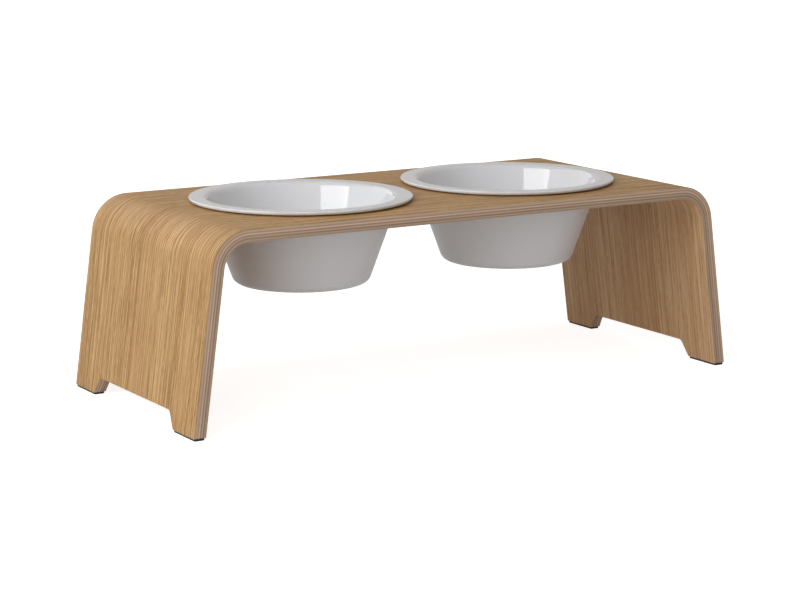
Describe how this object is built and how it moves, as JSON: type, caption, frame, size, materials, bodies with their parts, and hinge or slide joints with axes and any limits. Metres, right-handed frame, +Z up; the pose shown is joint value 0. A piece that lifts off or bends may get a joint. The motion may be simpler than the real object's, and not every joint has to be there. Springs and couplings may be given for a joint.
{
  "type": "pet feeding station",
  "caption": "Raised pet feeding bench of bent plywood with splayed, notched legs; porcelain bowls hang by their rims in round cut-outs and lift out.",
  "frame": {"origin": "on the floor, under the middle of the bench", "axes": "+X along the bench towards the right bowl, +Y from the front edge to the rear edge, +Z up"},
  "size_m": [0.5324, 0.227, 0.1692],
  "materials": {
    "oak_face": "oiled oak veneer",
    "light_core": "sanded, clear oil",
    "dark_core": "sanded, clear oil",
    "porcelain": "clear glaze",
    "pad": "matt",
    "tape": "matt film"
  },
  "bodies": {
    "bench": {"outer_face_veneer": "oak_face", "core_veneer_1": "light_core", "core_veneer_2": "dark_core", "core_veneer_3": "light_core", "core_veneer_4": "dark_core", "core_veneer_5": "light_core", "core_veneer_6": "dark_core", "core_veneer_7": "light_core", "inner_face_veneer": "oak_face", "front_left_foot_pad": "pad", "front_right_foot_pad": "pad", "rear_left_foot_pad": "pad", "rear_right_foot_pad": "pad", "foot_pad_tape": "tape"},
    "left_bowl": {"left_bowl": "porcelain"},
    "right_bowl": {"right_bowl": "porcelain"}
  },
  "joints": [
    {"name": "left_bowl_lift", "type": "slide", "parent": "bench", "child": "left_bowl", "axis": [0, 0, 1], "range_m": [0, 0.09]},
    {"name": "right_bowl_lift", "type": "slide", "parent": "bench", "child": "right_bowl", "axis": [0, 0, 1], "range_m": [0, 0.09]}
  ]
}
